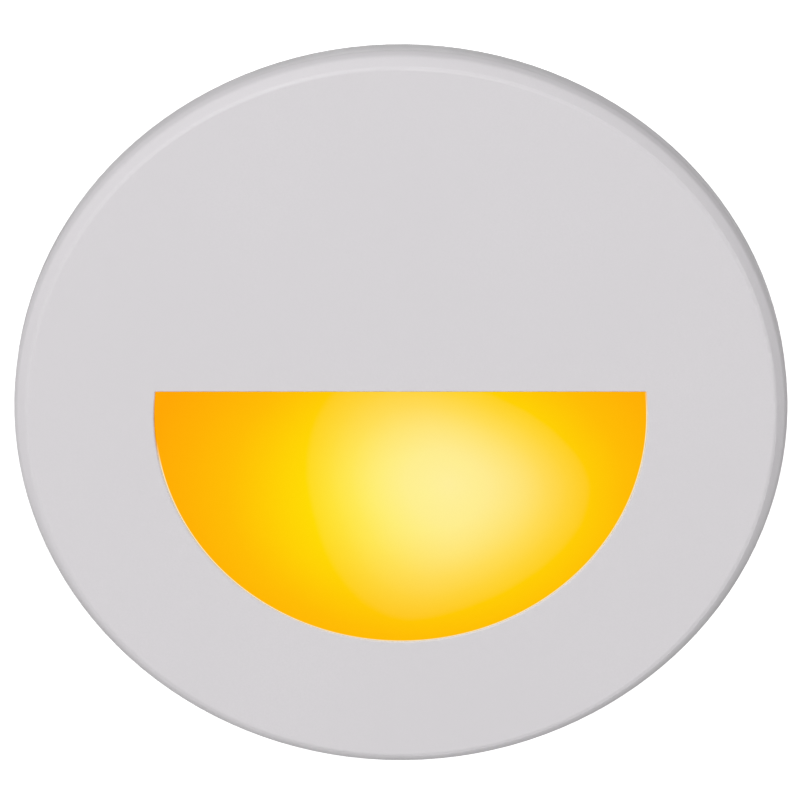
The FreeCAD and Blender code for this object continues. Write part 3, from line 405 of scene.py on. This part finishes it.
def plated(name, colour, rough, stretch=(1, 1, 1)):
    """Bright plated or drawn steel: fine scratches and a faint haze."""
    s = Surface(name, Metallic=1.0)
    haze = s.span(s.noise(380.0, 3.0), 0.35, 0.7)
    s.colour(s.mixed(haze, scaled(colour, 0.86), scaled(colour, 1.05)))
    scratches = s.noise(2600.0, 4.0, 0.7, at=s.stretched(*stretch))
    s.roughness(scratches, rough - 0.06, rough + 0.12)
    s.relief((scratches, 0.006))
    return s.material


def board(name, mask, copper, pads):
    """A circuit board: tracks showing through the solder mask, with tinned dots."""
    s = Surface(name, Specular_IOR_Level=0.5)
    beside_tracks = s.span(s.cells(330.0, "DISTANCE_TO_EDGE"), 0.05, 0.09)
    beside_dots = s.span(s.cells(460.0), 0.13, 0.17)
    covered = s.mixed(beside_tracks, copper, s.drifting(mask, 0.93, 1.06, 120.0))
    s.colour(s.mixed(beside_dots, pads, covered))
    s.roughness(s.noise(600.0), 0.30, 0.42)
    s.relief((beside_tracks, 0.03), (s.noise(2200.0), 0.006))
    return s.material


def lamps(name):
    """Lamp packages: white cases with a yellow face, which glows a little."""
    s = Surface(name, Specular_IOR_Level=0.5)
    face = s.span(s.times(s.axes(s.normal())[1], -1.0), 0.8, 0.95)
    yellow = s.mixed(s.span(s.noise(2600.0), 0.3, 0.7), linear(240, 196, 70), linear(250, 216, 108))
    s.colour(s.mixed(face, linear(238, 236, 228), yellow))
    s.glow(s.mixed(face, linear(0, 0, 0), linear(255, 214, 120)), 0.6)
    s.roughness(s.noise(1500.0), 0.30, 0.40)
    return s.material


def taped(name, colour):
    """A winding under tape: turns showing through as fine ridges."""
    s = Surface(name, Specular_IOR_Level=0.5)
    turns = s.bands(900.0, distortion=0.4)
    s.colour(s.mixed(s.span(turns, 0.2, 0.8), scaled(colour, 0.78), scaled(colour, 1.08)))
    s.roughness(s.noise(800.0), 0.28, 0.42)
    s.relief((turns, 0.04), (s.noise(1500.0), 0.01))
    return s.material


def sleeved(name, colour):
    """A capacitor's dark shrink sleeve, with narrow pale stripes."""
    s = Surface(name, Specular_IOR_Level=0.5)
    stripes = s.span(s.bands(60.0), 0.93, 0.96)
    s.colour(s.mixed(stripes, s.drifting(colour, 0.85, 1.15, 300.0), linear(190, 194, 200)))
    s.roughness(s.noise(500.0), 0.22, 0.34)
    s.relief((s.noise(900.0, 2.0), 0.02))
    return s.material


# The finish of each material slot in the record.
materials = {
    "painted_plate": painted("paint_light_grey", linear(214, 211, 214)),
    "black_rubber": rubber("rubber_black", linear(38, 38, 39), bloom=0.02),
    "grey_rubber": rubber("rubber_grey", linear(150, 150, 152)),
    "opal_lens": glowing_lens("lens_opal_lit"),
    "white_reflector": moulded("plastic_reflector_white", linear(242, 242, 238), rough=0.55),
    "white_board": board("board_white", mask=linear(238, 238, 234),
                         copper=linear(226, 226, 220), pads=linear(205, 205, 205)),
    "lamp": lamps("lamp_package"),
    "thermal": rubber("pad_thermal", linear(150, 160, 172)),
    "cast_body": cast("aluminium_cast", linear(178, 178, 180)),
    "zinc_screw": plated("steel_zinc", linear(205, 206, 210), rough=0.28),
    "white_plastic": moulded("plastic_white", linear(236, 236, 230), rough=0.42),
    "lead_sleeve": moulded("sleeve_red", linear(176, 24, 20), rough=0.38),
    "green_board": board("board_green", mask=linear(22, 104, 58),
                         copper=linear(44, 138, 78), pads=linear(196, 196, 190)),
    "ferrite": cast("ferrite_dark", linear(66, 66, 70)),
    "winding": taped("winding_taped", linear(226, 178, 62)),
    "capacitor_sleeve": sleeved("capacitor_sleeve", linear(34, 42, 92)),
    "chip": moulded("chip_black", linear(36, 36, 38), rough=0.5, grain=0.01),
    "grey_plastic": moulded("plastic_grey", linear(150, 150, 153), rough=0.42),
    "black_plastic": moulded("plastic_black", linear(34, 34, 36), rough=0.44),
    "spring_steel": plated("steel_spring", linear(208, 209, 213), rough=0.24, stretch=(1, 1, 0.25)),
}

for part in frame["record"]["subparts"]:
    node = nodes[part["node"]]
    node.data.materials.clear()
    node.data.materials.append(materials[part["material_slot"]])

# ------------------------------------------------------------------ torsion springs

# The wire is stiff in the CAD model. Here a copy of it, with the same finish, stands in for it, and the
# original is hidden.
for side in ("left", "right"):
    source = nodes["clip_spring_" + side]
    wire = bpy.data.objects.new("torsion_spring_" + side, source.data.copy())
    bpy.context.scene.collection.objects.link(wire)
    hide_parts("clip_spring_" + side)
    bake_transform(wire)

# ------------------------------------------------------------------ world, floor and lights

WHITE = (1, 1, 1, 1)
AMBIENT_LEVEL = 0.32  # what the world lights the object with
FLOOR_HEIGHT, FLOOR_REACH = -0.16, 6.0
FLOOR_COLOUR = (0.5, 0.5, 0.5, 1)
FLOOR_ROUGHNESS = 0.9
FLOOR_GLOW = 0.85  # added where it is looked at, so that it shows pale


def seen_share(tree, share):
    """That share where the camera, a reflection or glass looks, and 0 for other light."""
    rays = tree.nodes.new("ShaderNodeLightPath").outputs
    last = rays["Is Camera Ray"]
    for kind in ("Is Glossy Ray", "Is Transmission Ray"):
        either = tree.nodes.new("ShaderNodeMath")
        either.operation = "MAXIMUM"
        tree.links.new(last, either.inputs[0])
        tree.links.new(rays[kind], either.inputs[1])
        last = either.outputs[0]
    amount = tree.nodes.new("ShaderNodeMath")
    amount.operation = "MULTIPLY"
    tree.links.new(last, amount.inputs[0])
    amount.inputs[1].default_value = share
    return amount.outputs[0]


def white_world():
    """White where it is looked at, and an even soft light on the object."""
    world = bpy.data.worlds.new("studio")
    bpy.context.scene.world = world
    world.use_nodes = True
    sky = world.node_tree
    ambient = sky.nodes["Background"]
    ambient.inputs["Color"].default_value = WHITE
    ambient.inputs["Strength"].default_value = AMBIENT_LEVEL
    seen = sky.nodes.new("ShaderNodeBackground")
    seen.inputs["Color"].default_value = WHITE
    seen.inputs["Strength"].default_value = 1.0
    mix = sky.nodes.new("ShaderNodeMixShader")
    sky.links.new(seen_share(sky, 1.0), mix.inputs[0])
    sky.links.new(ambient.outputs[0], mix.inputs[1])
    sky.links.new(seen.outputs[0], mix.inputs[2])
    sky.links.new(mix.outputs[0], sky.nodes["World Output"].inputs["Surface"])


def pale_floor():
    """A wide floor, well below the light, which hangs on its wall."""
    mesh = bpy.data.meshes.new("floor")
    corners = [(x * FLOOR_REACH, y * FLOOR_REACH, FLOOR_HEIGHT)
               for x, y in ((-1, -1), (1, -1), (1, 1), (-1, 1))]
    mesh.from_pydata(corners, [], [(0, 1, 2, 3)])
    floor = bpy.data.objects.new("floor", mesh)
    bpy.context.scene.collection.objects.link(floor)
    pale = bpy.data.materials.new("floor_pale")
    pale.use_nodes = True
    ground = pale.node_tree
    matt = ground.nodes["Principled BSDF"]
    matt.inputs["Base Color"].default_value = FLOOR_COLOUR
    matt.inputs["Roughness"].default_value = FLOOR_ROUGHNESS
    matt.inputs["Emission Color"].default_value = WHITE
    ground.links.new(seen_share(ground, FLOOR_GLOW), matt.inputs["Emission Strength"])
    mesh.materials.append(pale)


def soft_light(name, direction, level, distance, size):
    """A square lamp that lights what faces it to the given level, where 1 shows a colour as it is."""
    towards = Vector(direction).normalized()
    data = bpy.data.lights.new(name, "AREA")
    data.shape = "SQUARE"
    data.size = size
    data.energy = level * math.pi * math.pi * distance * distance
    lamp = bpy.data.objects.new(name, data)
    lamp.location = towards * distance
    lamp.rotation_euler = towards.to_track_quat("Z", "Y").to_euler()
    bpy.context.scene.collection.objects.link(lamp)


white_world()
pale_floor()
soft_light("key", (-0.27, -0.85, 0.44), level=0.745, distance=1.6, size=1.0)
soft_light("fill", (0.80, -0.60, -0.10), level=0.09, distance=1.2, size=0.5)
soft_light("rear", (0.0, 1.0, 0.02), level=0.42, distance=1.3, size=0.5)

bpy.context.scene.view_settings.view_transform = "Standard"
